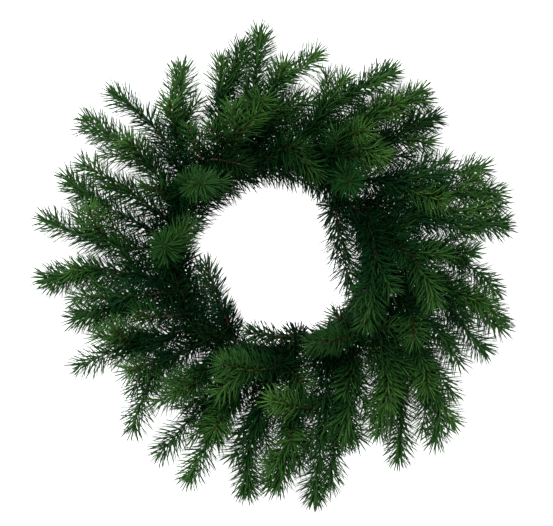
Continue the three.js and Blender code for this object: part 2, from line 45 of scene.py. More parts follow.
# The wire ring and its clamps, with the CAD's own sizes. HOOP_WIRE is half the hoop's wire, and
# CLAMP_WIRE the whole of a clamp's. Feet that are more than CLAMPS_APART degrees from each other
# belong to two clamps, and heights within a HAIR are the same.
HOOP_RADIUS = 88.0
HOOP_WIRE = 2.0
HOOP_SIDES = 6
HOOP_TOP = HOOP_WIRE * math.cos(math.pi / HOOP_SIDES)
HOOP_HEIGHT = 3.7
HOOP_STEPS = 180
FINE_HOOP_SIDES = 14
ROUND = 2.0
CLAMP_WIRE = 2.2
CLAMP_SIDES = 12
CLAMP_INSIDE = 5.5
CLAMP_MOUTH = 1.6
CLAMP_CORNER = 2.4
CLAMP_CORNER_STEPS = 6
CLAMP_SQUARENESS = 3.2
CLAMPS_APART = 8.0
WELD_DEPTH = 0.5
WELD_BEAD = (1.7, 1.0, 0.9)
WELD_SINK = 0.2
WELD_SIDES = 10
WELD_LIFTS = (-60, -25, 10, 45)
GAP = 0.3
HAIR = 0.05

# The twigs. A stem crosses the hoop at a slant between the two that are named, and reaches past it
# on both sides. A young twig's bark is rusty up to RUSTY_TO, as a share of its length. A line
# steeper than UPRIGHT, as a share of 1, counts as upright.
STEM_RADIUS = 1.6
STEM_TIP_RADIUS = 1.0
STEM_SIDES = 3
STEM_FACE = STEM_RADIUS * math.cos(math.pi / STEM_SIDES)
SPRIG_RADIUS_SHARE = 0.8
SPRIG_BEND = 0.5
SPRIG_NEEDLES_FROM = 7.0
TAIL_REACH = 3.8
LEVEL_PAST = 1.2
STRAIGHTEST = math.radians(80)
SLANTEST = math.radians(34)
BUD_LENGTH = 5.0
BUD_POINT = 0.05
BARK_SHARE = 0.66
BARK_SIDES = 6
BARK_STEP = 2.4
BARK_UNEVENNESS = (-0.13, 0.16)
RUSTY_TO = 0.6
RUST_FADE = 0.5
STATION_STEP = 1.0
SPLINE_STEPS = 40
UPRIGHT = 0.98

# The needles. Each has sections at shares of its length, with a width of its own, and ends in a
# point. They stand in whorls, lean more along the twig towards its tip, and differ where a twig
# rises. NEEDLE_ROOT is how far out in the bark they begin, as a share of its radius.
NEEDLE_LENGTH = 22.0
NEEDLE_LENGTH_SPREAD = 1.2
NEEDLE_WIDTH = 1.65
NEEDLE_THICKNESS = 1.05
NEEDLE_SHARES = (0.0, 0.3, 0.74, 1.0)
NEEDLE_WIDTHS = (0.65, 1.0, 0.82)
NEEDLE_SPACING = 0.3
SIDE_SPACING = 0.5
WHORL_STEP = 4.8
WHORL_PLACE = 0.7
WHORL_DEPTH = 0.5
WHORL_TURN = math.radians(137.508)
WHORL_DISORDER = 0.12
NEEDLE_LEAN = math.radians(61)
NEEDLE_TIP_LEAN = math.radians(33)
RISING_LEAN = math.radians(4)
RISING_TIP_LEAN = math.radians(8)
NEEDLE_LEAN_SPREAD = math.radians(3)
UPPER_NEEDLES_FLATTER = math.radians(16)
NEEDLE_CURL = math.radians(22)
NEEDLE_CURL_SPREAD = math.radians(4)
NEEDLE_SWAY = 0.05
NEEDLE_ROLL = math.radians(18)
NEEDLE_SIZES = (0.9, 1.1)
NEEDLE_ROOT = 0.8
TIP_STRETCH = 15.0
TIP_LENGTH_SHARE = 0.8
TIP_WIDTH_SHARE = 0.74
BARE_TIP = 2.5
RISING_BARE_TIP = 3.0
RISING_LENGTH_LOSS = 0.1
RISING_DISORDER = 4.0
LOWEST_NEEDLE = 0.8
LEAST_ROOM = 0.2

# A twig's joint, where its last year's growth begins: its needles are short there.
JOINT_FROM_TIP = (34.0, 50.0)
JOINT_REACH = 5.0
JOINT_LENGTH_LOSS = 0.5

# How new and how lit a needle is, as one value: its place on the twig and its twig's youth add new
# growth's green, and its height and its facing up add painted light, which its distance from the
# hole's middle takes back as painted shade. What lies low and near the ring is deep inside the
# wreath, where its needles get painted shade.
LAST_YEAR_FADE = 12.0
LAST_YEAR_SHARE = 0.45
FRESH_TIP = 40.0
LIT_HEIGHTS = (14.0, 54.0)
INNER_SHADE_RADII = (60.0, 140.0)
LIGHT_KEPT_INSIDE = 0.22
FRESH_BY_TIP = 0.38
LIT_BY_HEIGHT = 0.7
LIT_BEHIND_TIP = 0.3
FRESH_BY_YOUTH = 0.5
FRESH_AND_LIT_LOSS = 0.06
STEEP = 0.4
STEEP_LOSS = 0.5
UNLIT_SHARE = 0.5
LIT_GAIN = 0.12
DEEP_SHADE_HEIGHTS = (12.0, 46.0)
DEEP_SHADE_RADII = (108.0, 174.0)
DEEP_SHADE_LOSS_BY_LIGHT = 0.6
COOLNESS_SPREAD = 0.2

# How far a needle's three edges and its tip show its paler underside.
UNDER_EDGES = (0.7, 0.0, 0.7)
UNDER_TIP = 0.3

# Short side sprigs, which fill the wreath round its ring. None grows where its stem is steeper than
# SIDE_LEAST_LEVEL allows.
SIDE_FROM = 14.0
SIDE_FROM_SPREAD = 6.0
SIDE_STOP = 38.0
SIDE_STEP = 24.0
SIDE_STEP_SHARES = (0.8, 1.2)
SIDE_REACH = 147.0
SIDE_REACH_SWAY = 20.0
FULLEST_SIDE = math.radians(-25)
SIDE_LENGTH = 50.0
SIDE_TIP_LENGTH = 40.0
SIDE_LENGTH_SHARES = (0.85, 1.15)
SIDE_TURN = math.radians(27)
SIDE_TURN_SPREAD = math.radians(6)
SIDE_RISE = (-0.35, 0.05)
SIDE_LEAST_LEVEL = 0.45
SIDE_BEND = 0.45
SIDE_LOWEST_TIP = 9.0
SIDE_NEEDLES_FROM = 3.0
SIDE_RADIUS = 0.8
SIDE_TIP_RADIUS = 0.56

# A collar is a side sprig that follows the hoop: where it starts on its stem, how far round it
# reaches in degrees, its tip's distance from the collars' own line and its tip's height. That line
# is given by pairs of degrees and a radius.
COLLARS = [(6.0, 17, 0, 15), (13.0, 15, 13, 24)]
COLLAR_RADII = [(0, 90), (30, 84), (60, 78.5), (90, 77.5), (120, 75.5), (145, 76), (172, 83),
                (186, 79), (204, 79), (240, 97), (270, 88), (297, 86), (318, 99), (335, 98), (360, 90)]
COLLAR_TURN_SPREAD = 3.0
COLLAR_RADIUS_SPREAD = 3.0
COLLAR_HEIGHT_SPREAD = (-4.0, 5.0)
COLLAR_BEND = (5.0, 3.0)
COLLAR_NEEDLES_FROM = 2.0
HOLE_EDGE = 88.0

# Each spray draws its random numbers from a seed of its own.
FIRST_SEED = 1000
SEED_STEP = 10

# Colours, as red, green, blue and opacity. Two in a list are mixed by noise or by a needle's own
# tone, and those of the bark stand at shares of its noise.
OLD_GREENS = [(0.0008, 0.0250, 0.0055, 1), (0.0035, 0.0520, 0.0085, 1)]
NEW_AND_LIT_GREENS = [(0.0540, 0.1780, 0.0280, 1), (0.1300, 0.2950, 0.0560, 1)]
PATCH_GREEN = (0.0100, 0.0560, 0.0060, 1)
COOL_GREEN = (0.0012, 0.0450, 0.0180, 1)
UNDER_GREEN = (0.0120, 0.0560, 0.0230, 1)
DEEP_SHADE_GREEN = (0.0004, 0.0125, 0.0034, 1)
NEEDLE_END = (0.060, 0.050, 0.016, 1)
NEEDLE_GLEAM = (0.4, 1.0, 0.42, 1)
BARK_BROWNS = [(0.3, (0.018, 0.008, 0.004, 1)), (0.5, (0.055, 0.023, 0.010, 1)),
               (0.72, (0.120, 0.060, 0.028, 1))]
RUSTS = [(0.110, 0.045, 0.018, 1), (0.260, 0.130, 0.055, 1)]
TIP_BARK = (0.085, 0.050, 0.014, 1)
ENAMELS = [(0.0060, 0.0140, 0.0085, 1), (0.0140, 0.0260, 0.0160, 1)]
BARE_STEEL = (0.050, 0.048, 0.044, 1)
FLOOR_GREYS = [(0.86, 0.86, 0.85, 1), (0.90, 0.90, 0.90, 1)]
BLACK = (0, 0, 0, 1)
GREY = (0.5, 0.5, 0.5, 1)
WHITE = (1, 1, 1, 1)

# How much of the cool, the under, the painted deep shade and the tip's colour there is at most,
# where along a needle the colour of its ends shows, and where the enamel is worn.
COOL_MOST = 0.85
UNDER_MOST = 0.4
DEEP_SHADE_MOST = 0.9
TIP_BARK_MOST = 0.55
NEEDLE_ENDS = [(0.0, WHITE), (0.1, BLACK), (0.96, BLACK), (1.0, GREY)]
ENAMEL_WEAR = [(0.66, BLACK), (0.74, WHITE)]

# The scale and detail of the noise in the materials, the ranges of their roughness, and the
# strength and depth, in metres, of their bumps.
PATCH_NOISE = (22.0, 3.0)
SHEEN_NOISE = (700.0, 3.0)
GRAIN_NOISE = (1600.0, 3.0)
BARK_NOISE = (420.0, 6.0)
RUN_NOISE = (130.0, 4.0)
WEAR_NOISE = (520.0, 5.0)
FLOOR_NOISE = (3.0, 3.0)
NEEDLE_ROUGHNESS = (0.38, 0.60)
BARK_ROUGHNESS = (0.65, 0.9)
ENAMEL_ROUGHNESS = (0.28, 0.5)
NEEDLE_BUMP = (0.25, 0.0003)
BARK_BUMP = (0.7, 0.0006)
ENAMEL_BUMP = (0.3, 0.0004)

# The sockets of a mix node that mixes colours.
MIX_SHARE = 0
MIX_FIRST = 6
MIX_SECOND = 7
MIX_RESULT = 2

# The floor, the lights and the camera. The lights' places and sizes are in metres, their energies
# in watts. The camera stands over the middle of the photo's frame, and takes in VIEW_WIDTH at the
# height of CAMERA_PLANE.
FLOOR_SIZE = 8.0
FLOOR_DROP = 0.2
FLOOR_GLOW = 0.9
SKY_STRENGTH = 0.5
LIGHTS = [("key", (-0.9, 0.9, 1.9), 1.0, 36), ("fill", (1.2, -0.8, 1.8), 1.6, 9)]
CAMERA_PLANE = 25.0
CAMERA_DISTANCE = 3000.0
CAMERA_ASIDE = (4.3, -6.65)
CAMERA_SENSOR = 36.0
CAMERA_REACH = 50.0
VIEW_WIDTH = 525.35

# The sprays, clockwise from the top: the stem's seat on the hoop in degrees, the points of its
# centre line, and its side sprigs, each with the share of the stem where it leaves and its tip.
# Points are in millimetres from the ring's centre.
SPRAYS = [
    {"seat": 111, "path": [(-19, 129, 22), (-16, 167, 30), (-14, 186, 30), (-10, 210, 26)],
     "sprigs": [(0.3, (-8, 150, 46))]},
    {"seat": 104, "path": [(-10, 112, 14), (-4, 143, 20), (10, 171, 30), (27, 179, 36), (44, 193, 36)],
     "sprigs": [(0.5, (14, 181, 46))]},
    {"seat": 96, "path": [(6, 101, 20), (17, 103, 32), (31, 102, 42)], "sprigs": [(0.4, (44, 76, 36))]},
    {"seat": 88, "path": [(25, 110, 15), (50, 134, 24), (79, 156, 34), (98, 165, 34), (115, 174, 28)],
     "sprigs": [(0.2, (70, 171, 38))]},
    {"seat": 79, "path": [(52, 104, 15), (88, 127, 24), (107, 139, 28), (126, 148, 28), (143, 156, 22)],
     "sprigs": [(0.22, (90, 119, 46)), (0.5, (122, 146, 42))]},
    {"seat": 71, "path": [(60, 95, 25), (84, 101, 42), (107, 92, 52)], "sprigs": []},
    {"seat": 64, "path": [(75, 92, 14), (103, 108, 20), (122, 118, 26), (136, 126, 28), (156, 131, 22)],
     "sprigs": [(0.42, (150, 107, 36))]},
    {"seat": 57, "path": [(62, 80, 24), (69, 76, 48), (74, 66, 72)], "sprigs": []},
    {"seat": 50, "path": [(80, 74, 13), (103, 71, 18), (122, 72, 24), (150, 76, 30),
                          (179, 80, 28), (202, 84, 20)],
     "sprigs": [(0.28, (164, 49, 46))]},
    {"seat": 44, "path": [(61, 40, 20), (68, 9, 30), (71, -18, 38), (76, -33, 42)], "sprigs": []},
    {"seat": 35, "path": [(100, 50, 14), (141, 56, 22), (169, 58, 29), (193, 60, 30), (217, 59, 24)],
     "sprigs": [(0.4, (196, 73, 36))]},
    {"seat": 30, "path": [(110, 36, 16), (141, 37, 25), (164, 34, 31), (183, 32, 30), (221, 32, 20)],
     "sprigs": [(0.42, (203, 47, 36))]},
    {"seat": 24, "path": [(93, 27, 22), (97, 8, 34), (96, -13, 44), (94, -39, 52), (87, -66, 57)],
     "sprigs": []},
    {"seat": 18, "path": [(104, 17, 20), (126, 6, 42), (141, -15, 54), (148, -28, 59), (152, -46, 62)],
     "sprigs": []},
    {"seat": 12, "path": [(120, 14, 14), (164, 6, 21), (183, -7, 27), (198, -18, 27), (214, -35, 19)],
     "sprigs": [(0.55, (193, 6, 38))]},
    {"seat": 5, "path": [(120, -8, 15), (164, -32, 24), (180, -39, 30), (198, -44, 32), (218, -63, 25)],
     "sprigs": [(0.42, (204, -45, 46))]},
    {"seat": 358, "path": [(125, -28, 14), (167, -50, 18), (186, -72, 21), (204, -91, 16)],
     "sprigs": []},
    {"seat": 351, "path": [(120, -37, 18), (150, -62, 30), (167, -85, 34), (171, -97, 34)],
     "sprigs": [(0.3, (134, -80, 50))]},
    {"seat": 344, "path": [(112, -52, 14), (134, -80, 21), (145, -113, 28), (153, -132, 30),
                           (158, -156, 26), (155, -177, 19)],
     "sprigs": [(0.38, (147, -127, 46)), (0.5, (172, -159, 28))]},
    {"seat": 337, "path": [(100, -64, 14), (117, -89, 19), (122, -142, 25), (123, -165, 24),
                           (120, -194, 18)],
     "sprigs": []},
    {"seat": 330, "path": [(92, -68, 17), (105, -88, 27), (107, -123, 37), (104, -146, 38),
                           (100, -168, 34)],
     "sprigs": [(0.45, (109, -141, 50))]},
    {"seat": 322, "path": [(79, -67, 21), (76, -76, 37), (62, -80, 49), (48, -81, 57), (34, -83, 62)],
     "sprigs": [(0.24, (58, -54, 42))]},
    {"seat": 316, "path": [(74, -84, 17), (79, -108, 27), (76, -132, 32), (71, -156, 32),
                           (69, -178, 26)],
     "sprigs": []},
    {"seat": 309, "path": [(62, -96, 13), (68, -123, 17), (65, -146, 21), (63, -170, 22),
                           (53, -220, 16)],
     "sprigs": []},
    {"seat": 302, "path": [(51, -103, 14), (53, -132, 21), (50, -161, 27), (46, -184, 28),
                           (39, -232, 18)],
     "sprigs": [(0.34, (-2, -134, 56))]},
    {"seat": 294, "path": [(20, -76, 22), (4, -76, 32), (-12, -74, 39), (-24, -71, 45)], "sprigs": []},
    {"seat": 286, "path": [(19, -110, 14), (17, -161, 26), (15, -184, 31), (11, -201, 31),
                           (2, -221, 26)],
     "sprigs": [(0.42, (17, -178, 48)), (0.66, (-5, -199, 44))]},
    {"seat": 279, "path": [(8, -103, 23), (-12, -108, 42), (-32, -105, 56), (-49, -100, 66)],
     "sprigs": []},
    {"seat": 271, "path": [(-6, -118, 14), (-9, -144, 20), (-21, -180, 25), (-24, -203, 22),
                           (-25, -226, 16)],
     "sprigs": []},
    {"seat": 263, "path": [(-22, -110, 14), (-35, -132, 21), (-56, -161, 29), (-63, -180, 31),
                           (-80, -213, 23)],
     "sprigs": [(0.4, (-54, -166, 46))]},
    {"seat": 256, "path": [(-39, -112, 13), (-56, -137, 16), (-83, -161, 19), (-108, -190, 15)],
     "sprigs": []},
    {"seat": 248, "path": [(-42, -63, 20), (-50, -42, 30), (-57, -23, 38), (-63, -6, 44)],
     "sprigs": []},
    {"seat": 240, "path": [(-55, -98, 20), (-70, -118, 38), (-95, -129, 54)], "sprigs": []},
    {"seat": 232, "path": [(-78, -86, 14), (-104, -101, 21), (-121, -132, 29), (-127, -148, 28),
                           (-132, -165, 22)],
     "sprigs": [(0.34, (-138, -110, 44))]},
    {"seat": 224, "path": [(-88, -73, 15), (-111, -83, 20), (-135, -87, 25), (-154, -92, 26),
                           (-185, -105, 19)],
     "sprigs": [(0.26, (-166, -74, 40)), (0.4, (-150, -66, 54))]},
    {"seat": 217, "path": [(-92, -56, 26), (-112, -58, 40), (-130, -54, 50)], "sprigs": []},
    {"seat": 211, "path": [(-102, -46, 14), (-125, -47, 20), (-154, -51, 25), (-190, -61, 19)],
     "sprigs": []},
    {"seat": 204, "path": [(-99, -34, 18), (-118, -37, 30), (-144, -39, 39), (-168, -39, 41),
                           (-187, -40, 38)],
     "sprigs": []},
    {"seat": 197, "path": [(-121, -20, 17), (-154, -15, 24), (-182, -17, 26), (-201, -20, 24),
                           (-218, -21, 18)],
     "sprigs": [(0.52, (-192, -13, 42))]},
    {"seat": 190, "path": [(-98, -9, 22), (-100, 2, 48), (-100, 13, 76)],
     "sprigs": [(0.45, (-76, 30, 50))]},
    {"seat": 183, "path": [(-108, 4, 14), (-130, 8, 20), (-159, 12, 25), (-182, 20, 26),
                           (-218, 36, 18)],
     "sprigs": [(0.4, (-173, 46, 46))]},
    {"seat": 175, "path": [(-115, 24, 16), (-144, 40, 22), (-178, 58, 23), (-192, 70, 19)],
     "sprigs": []},
    {"seat": 167, "path": [(-100, 35, 18), (-118, 49, 29), (-140, 63, 38), (-156, 73, 40),
                           (-180, 88, 36)],
     "sprigs": []},
    {"seat": 159, "path": [(-95, 56, 14), (-111, 80, 20), (-130, 99, 25), (-149, 112, 26),
                           (-177, 131, 20)],
     "sprigs": [(0.4, (-139, 111, 46))]},
    {"seat": 151, "path": [(-86, 58, 24), (-76, 66, 50), (-61, 68, 76)],
     "sprigs": [(0.42, (-46, 70, 40))]},
    {"seat": 144, "path": [(-85, 78, 14), (-99, 103, 20), (-113, 124, 25), (-127, 137, 26),
                           (-152, 156, 20)],
     "sprigs": []},
    {"seat": 137, "path": [(-77, 84, 14), (-88, 110, 21), (-90, 134, 27), (-86, 158, 28),
                           (-85, 180, 23)],
     "sprigs": [(0.42, (-97, 147, 46))]},
    {"seat": 130, "path": [(-66, 90, 22), (-73, 108, 36), (-78, 124, 44)],
     "sprigs": [(0.3, (-22, 84, 48))]},
    {"seat": 124, "path": [(-52, 98, 14), (-50, 128, 21), (-44, 153, 27), (-35, 177, 27),
                           (-28, 200, 21)],
     "sprigs": [(0.36, (-48, 187, 32))]},
    {"seat": 117, "path": [(-36, 98, 22), (-34, 118, 38), (-36, 142, 48)], "sprigs": []},
]

# Finer side sprigs that fill out single sprays, by their spray's seat: the share of the stem where
# each leaves it, and its tip.
FILLS = {
    111: [(0.3, (-26, 170, 26)), (0.8, (-13, 214, 22))],
    104: [(0.22, (32, 148, 25)), (0.16, (42, 148, 20))],
    88: [(0.6, (112, 177, 24))],
    79: [(0.35, (108, 152, 34)), (0.8, (146, 147, 20))],
    64: [(0.22, (131, 94, 22)), (0.7, (150, 126, 20))],
    50: [(0.4, (166, 92, 20)), (0.25, (148, 92, 18))],
    44: [(0.3, (61, -4, 24)), (0.1, (53, 40, 18))],
    35: [(0.7, (217, 46, 20))],
    30: [(0.7, (222, 27, 18))],
    12: [(0.4, (182, -17, 26))],
    5: [(0.3, (188, -61, 22)), (0.6, (219, -70, 20))],
    351: [(0.5, (179, -103, 24))],
    344: [(0.25, (172, -132, 22)), (0.45, (143, -166, 20))],
    337: [(0.35, (105, -168, 18))],
    309: [(0.08, (40, -116, 16)), (0.04, (34, -106, 14))],
    302: [(0.85, (43, -231, 16))],
    286: [(0.3, (27, -200, 22)), (0.7, (-5, -215, 20))],
    271: [(0.3, (-39, -192, 20)), (0.7, (-20, -222, 16))],
    263: [(0.3, (-77, -172, 22))],
    256: [(0.2, (-88, -146, 20))],
    248: [(0.1, (-74, -28, 16)), (0.35, (-72, -8, 22)), (0.15, (-68, -46, 17))],
    240: [(0.4, (-108, -118, 30)), (0.3, (-112, -139, 30))],
    232: [(0.05, (-94, -112, 14)), (0.3, (-134, -129, 22))],
    224: [(0.2, (-140, -68, 20)), (0.35, (-150, -98, 20))],
    211: [(0.4, (-166, -65, 20)), (0.5, (-184, -58, 20))],
    204: [(0.45, (-168, -28, 28))],
    197: [(0.3, (-160, -26, 20)), (0.66, (-212, -27, 18))],
    183: [(0.5, (-185, 43, 24))],
    175: [(0.6, (-197, 78, 18))],
    167: [(0.5, (-162, 66, 28))],
    159: [(0.06, (-104, 76, 16)), (0.38, (-160, 97, 22)), (0.6, (-180, 122, 18))],
    137: [(0.34, (-70, 148, 26)), (0.5, (-88, 177, 26))],
    130: [(0.2, (-34, 58, 20))],
    124: [(0.55, (-22, 190, 22))],
}

# How much lighter or darker than the others a spray's raised twigs are, by its seat: newer and
# older growth together with painted light and painted shade.
FRESH_AND_LIT_BY_SEAT = {
    137: 0.45, 183: 0.45, 159: 0.6, 124: -0.2, 117: 0.3, 104: 0.5, 79: 0.6, 71: 0.3, 64: -0.4,
    57: -0.4, 50: 0.35, 24: -0.2, 18: -0.25, 12: -0.3, 5: 0.1, 351: -0.5, 344: 0.15, 330: 0.2,
    322: -0.1, 302: 0.35, 286: -0.15, 279: 0.35, 263: 0.4, 224: -0.3, 217: -0.3, 204: -0.1,
    197: 0.3, 190: 0.05, 151: 0.2,
}

# How much darker single twigs are, in the shade of others, by their spray's seat and their place.
SHADED = {(130, 1): 0.8, (124, 0): 0.35, (64, 0): 0.7, (64, 1): 0.4, (64, 2): 0.8, (64, 3): 0.6}

# Sprays without side sprigs by rule, whose open herringbone shows, by their seat.
OPEN = {232, 224, 217, 211, 204, 175, 167, 159, 144, 130, 50, 351}

# How much wider apart than the others' the airiest sprays' needles stand, by their seat.
AIRIER = {
    137: 1.2, 130: 1.6, 124: 1.15, 88: 1.1, 50: 1.1, 44: 1.5, 35: 1.1, 30: 1.1, 351: 1.25,
    322: 1.35, 294: 1.2, 263: 1.1, 256: 1.4, 248: 1.35, 232: 1.2, 224: 1.3, 217: 1.3, 204: 1.1,
    183: 1.15, 175: 1.15, 167: 1.15, 159: 1.25, 144: 1.15,
}

# Sprays whose needles are shorter than the others', by their seat.
SHORTER = {294: 0.78, 322: 0.84, 12: 0.8, 248: 0.86, 130: 0.8}


def unit(vectors):
    """Vectors of the same directions and a length of 1."""
    return vectors / np.linalg.norm(vectors, axis=-1, keepdims=True)


def climb(value, start, end):
    """How far a value has come from a start to an end, from 0 to 1."""
    return np.clip((value - start) / (end - start), 0, 1)


def between(marks, rows, distance):
    """The points or directions at a distance, on straight lines between the marks."""
    return np.stack([np.interp(distance, marks, rows[:, k]) for k in range(3)], -1)


def first_across(along):
    """A direction for a line's first way across it: up, unless the line itself is upright."""
    return np.array([1.0, 0.0, 0.0] if abs(along[2]) > UPRIGHT else [0.0, 0.0, 1.0])


def centripetal(points):
    """The centripetal Catmull-Rom curve through some points, as a dense line."""
    points = np.array(points, float)
    ends = np.vstack([2 * points[0] - points[1], points, 2 * points[-1] - points[-2]])
    share = np.linspace(0, 1, SPLINE_STEPS, endpoint=False)[:, None]
    line = []
    for p0, p1, p2, p3 in zip(ends, ends[1:], ends[2:], ends[3:]):
        d0 = math.sqrt(np.linalg.norm(p1 - p0))
        d1 = math.sqrt(np.linalg.norm(p2 - p1))
        d2 = math.sqrt(np.linalg.norm(p3 - p2))
        t1 = ((p1 - p0) / d0 - (p2 - p0) / (d0 + d1) + (p2 - p1) / d1) * d1
        t2 = ((p2 - p1) / d1 - (p3 - p1) / (d1 + d2) + (p3 - p2) / d2) * d1
        c2 = -3 * p1 + 3 * p2 - 2 * t1 - t2
        c3 = 2 * p1 - 2 * p2 + t1 + t2
        line.append(p1 + t1 * share + c2 * share**2 + c3 * share**3)
    return np.vstack(line + [points[-1:]])


def bent_line(root, bend, tip):
    """A quadratic curve from a root to a tip, as a dense line."""
    t = np.linspace(0, 1, SPLINE_STEPS + 1)[:, None]
    return root * (1 - t) ** 2 + bend * 2 * t * (1 - t) + tip * t**2


class Twig:
    """A centre line that knows, at any distance, its point, its direction and two ways across."""

    def __init__(self, line, root_radius, tip_radius, needle_start, spacing, youth=0.0):
        marks = np.append(0, np.cumsum(np.linalg.norm(np.diff(line, axis=0), axis=1)))
        self.length = marks[-1]
        self.root_radius = root_radius
        self.tip_radius = tip_radius
        self.needle_start = needle_start
        self.spacing = spacing
        self.youth = youth
        self.length_share = 1.0
        self.coolness = 0.0
        self.fresh_and_lit_shift = 0.0
        self.shade = 0.0
        self.joint = self.length
        self.stations = np.linspace(0, self.length, math.ceil(self.length / STATION_STEP) + 1)
        self.points = between(marks, line, self.stations)
        self.along = unit(np.gradient(self.points, axis=0))
        self.tip_rise = max(self.along[-1][2], 0)
        across = first_across(self.along[0])
        ways = []
        for along in self.along:
            across = unit(across - along * np.dot(across, along))
            ways.append(across)
        self.first = np.array(ways)

    def at(self, distance):
        """The point at a distance, the direction there and the two ways across it."""
        along = unit(between(self.stations, self.along, distance))
        first = between(self.stations, self.first, distance)
        first = unit(first - along * np.sum(first * along, -1, keepdims=True))
        point = between(self.stations, self.points, distance)
        return point, along, first, np.cross(along, first)

    def radius(self, distance):
        """The twig's radius at a distance, evenly thinner towards its tip."""
        return self.root_radius + (self.tip_radius - self.root_radius) * distance / self.length

    def near_joint(self, distance):
        """How near a distance is to the twig's joint, from 0 to 1."""
        return np.exp(-((distance - self.joint) / JOINT_REACH) ** 2)

    def open_share(self, distance):
        """How far a distance is out of the twig's tip, where the needles close up, from 0 to 1."""
        return np.clip((self.length - distance) / TIP_STRETCH, 0, 1)


def stem_twig(spray):
    """A spray's stem: level and straight across the hoop, then through its points."""
    angle = math.radians(spray["seat"])
    outward = np.array([math.cos(angle), math.sin(angle), 0.0])
    clockwise = np.array([math.sin(angle), -math.cos(angle), 0.0])
    seat = outward * HOOP_RADIUS + np.array([0, 0, HOOP_HEIGHT + HOOP_TOP + GAP + STEM_FACE])
    aim = np.array(spray["path"][0], float) - seat
    side = -1 if aim @ outward < 0 else 1
    slant = math.atan2(abs(aim @ outward), aim @ clockwise)
    slant = min(max(slant, SLANTEST), STRAIGHTEST)
    heading = clockwise * math.cos(slant) + outward * side * math.sin(slant)
    level = [seat + heading * distance / math.sin(slant)
             for distance in (-TAIL_REACH, HOOP_WIRE + LEVEL_PAST, CLAMP_INSIDE)]
    needle_start = TAIL_REACH / math.sin(slant)
    return Twig(centripetal(level + spray["path"]), STEM_RADIUS, STEM_TIP_RADIUS, needle_start,
                NEEDLE_SPACING)


def sprig_line(stem, share, tip):
    """The line of a sprig that leaves along its stem and bends to its tip."""
    root, along, _, _ = stem.at(share * stem.length)
    tip = np.array(tip, float)
    bend = root + along * SPRIG_BEND * np.linalg.norm(tip - root)
    return bent_line(root, bend, tip)


def sprig_twig(stem, share, tip):
    """One of a spray's own side sprigs, as the CAD has it: a young one."""
    root_radius = stem.radius(share * stem.length) * SPRIG_RADIUS_SHARE
    return Twig(sprig_line(stem, share, tip), root_radius, STEM_TIP_RADIUS, SPRIG_NEEDLES_FROM,
                NEEDLE_SPACING, 1.0)


def side_twig(line, needle_start=SIDE_NEEDLES_FROM):
    """A short, finer side sprig."""
    return Twig(line, SIDE_RADIUS, SIDE_TIP_RADIUS, needle_start, SIDE_SPACING)


def collar_twigs(stem, seat, draw):
    """The side sprigs that follow the hoop clockwise from a stem."""
    twigs = []
    ahead, lift = COLLAR_BEND
    for start, degrees, outside, height in COLLARS:
        root, along, _, _ = stem.at(start)
        turn = (seat - degrees - draw.uniform(-COLLAR_TURN_SPREAD, COLLAR_TURN_SPREAD)) % 360
        radius = np.interp(turn, *zip(*COLLAR_RADII)) + outside
        radius += draw.uniform(-COLLAR_RADIUS_SPREAD, COLLAR_RADIUS_SPREAD)
        angle = math.radians(turn)
        tip = np.array([radius * math.cos(angle), radius * math.sin(angle),
                        height + draw.uniform(*COLLAR_HEIGHT_SPREAD)])
        line = bent_line(root, root + along * ahead + [0, 0, lift], tip)
        twigs.append(side_twig(line, COLLAR_NEEDLES_FROM))
    return twigs


def side_twigs(stem, draw):
    """Short side sprigs, by turns to the left and right of a stem, nearer the ring only."""
    twigs = []
    side = 1
    distance = SIDE_FROM + draw.uniform(0, SIDE_FROM_SPREAD)
    while distance < stem.length - SIDE_STOP:
        root, along, _, _ = stem.at(distance)
        fullness = math.cos(math.atan2(root[1], root[0]) - FULLEST_SIDE)
        if math.hypot(root[0], root[1]) > SIDE_REACH + SIDE_REACH_SWAY * fullness:
            break
        share = distance / stem.length
        length = SIDE_LENGTH + (SIDE_TIP_LENGTH - SIDE_LENGTH) * share
        length *= draw.uniform(*SIDE_LENGTH_SHARES)
        turn = SIDE_TURN + draw.normal(0, SIDE_TURN_SPREAD)
        rise = draw.uniform(*SIDE_RISE)
        level = np.cross([0, 0, 1], along)
        if np.linalg.norm(level) > SIDE_LEAST_LEVEL:
            heading = along * math.cos(turn) + unit(level) * side * math.sin(turn)
            heading = unit(heading + [0, 0, rise])
            bend = root + unit(along + heading) * length * SIDE_BEND
            tip = root + heading * length
            tip[2] = max(tip[2], SIDE_LOWEST_TIP)
            if math.hypot(tip[0], tip[1]) > HOLE_EDGE:
                twigs.append(side_twig(bent_line(root, bend, tip)))
        side = -side
        distance += SIDE_STEP * draw.uniform(*SIDE_STEP_SHARES)
    return twigs


def ring_faces(rings, sides, closed=False):
    """The triangles between rings of vertices that follow one another."""
    k = np.arange(sides)
    after = (k + 1) % sides
    faces = []
    for i in range(rings if closed else rings - 1):
        low, high = i * sides, (i + 1) % rings * sides
        faces.append(np.stack([low + k, low + after, high + after], 1))
        faces.append(np.stack([low + k, high + after, high + k], 1))
    return faces


def end_faces(rings, sides, tail, tip):
    """The fans that close the first and the last ring, each round a vertex of its own."""
    k = np.arange(sides)
    after = (k + 1) % sides
    last = (rings - 1) * sides
    return [np.stack([after, k, np.full(sides, tail)], 1),
            np.stack([last + k, last + after, np.full(sides, tip)], 1)]


